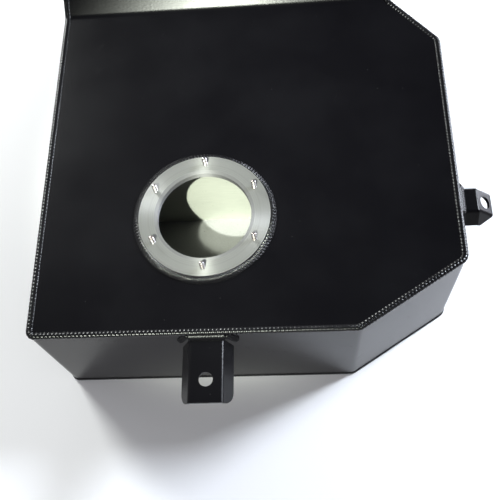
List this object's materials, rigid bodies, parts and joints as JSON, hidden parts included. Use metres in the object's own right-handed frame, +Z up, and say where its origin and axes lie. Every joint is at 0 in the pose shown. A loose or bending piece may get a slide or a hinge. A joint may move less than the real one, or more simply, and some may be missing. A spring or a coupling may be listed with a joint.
{
  "type": "hydraulic reservoir",
  "caption": "Black coated welded sheet tank with cut corners, a raised rear deck, a studded access ring, bent mounting brackets, capped filler, breather and ports.",
  "frame": {"origin": "on the underside of the floor plate, straight below the access ring's axis", "axes": "+X to the tank's right, +Y to its raised rear end, +Z up out of the access ring"},
  "size_m": [0.4895, 0.674, 0.2345],
  "materials": {
    "black_coat": "satin",
    "turned_aluminium": "satin",
    "bare_aluminium": "satin",
    "stud_steel": "satin",
    "strainer_steel": "satin",
    "nitrile_rubber": "matte",
    "cap_finish": "satin",
    "bronze_breather": "satin",
    "copper_washer": "satin"
  },
  "bodies": {
    "tank": {"floor_plate": "black_coat", "front_wrap": "black_coat", "rear_wrap": "black_coat", "top_plate": "black_coat", "front_baffle": "bare_aluminium", "rear_baffle": "bare_aluminium", "top_weld": "black_coat", "base_weld": "black_coat", "seam_welds": "black_coat", "access_ring": "turned_aluminium", "ring_weld": "black_coat", "ring_studs": "stud_steel", "front_bracket": "black_coat", "front_bracket_weld": "black_coat", "side_bracket": "black_coat", "side_bracket_weld": "black_coat", "rear_bracket": "black_coat", "rear_bracket_weld": "black_coat", "filler_neck": "bare_aluminium", "filler_weld": "black_coat", "filler_strainer": "strainer_steel", "breather_bung": "black_coat", "breather": "bronze_breather", "return_bung": "black_coat", "return_pipe": "bare_aluminium", "suction_bung": "black_coat", "suction_strainer": "strainer_steel", "drain_bung": "black_coat", "bung_welds": "black_coat"},
    "cap_seal": {"filler_gasket": "nitrile_rubber"},
    "cap": {"filler_cap": "cap_finish"},
    "drain_seal": {"drain_washer": "copper_washer"},
    "plug": {"drain_plug": "stud_steel"}
  },
  "joints": [
    {"name": "cap_lift", "type": "slide", "parent": "tank", "child": "cap_seal", "axis": [0, 0, 1], "range_m": [0, 0.0075]},
    {"name": "cap_turn", "type": "hinge", "parent": "cap_seal", "child": "cap", "pos_m": [-0.066, 0.372, 0.228], "axis": [0, 0, 1], "range_deg": [0, 900]},
    {"name": "drain_lift", "type": "slide", "parent": "tank", "child": "drain_seal", "axis": [0, 1, 0], "range_m": [0, 0.009]},
    {"name": "drain_turn", "type": "hinge", "parent": "drain_seal", "child": "plug", "pos_m": [-0.116, 0.426, 0.024], "axis": [0, 1, 0], "range_deg": [0, 2160]}
  ],
  "couplings": [
    {"joint": "cap_lift", "follows": "cap_turn", "m_per_rad": 0.000477},
    {"joint": "drain_lift", "follows": "drain_turn", "m_per_rad": 0.000238}
  ]
}
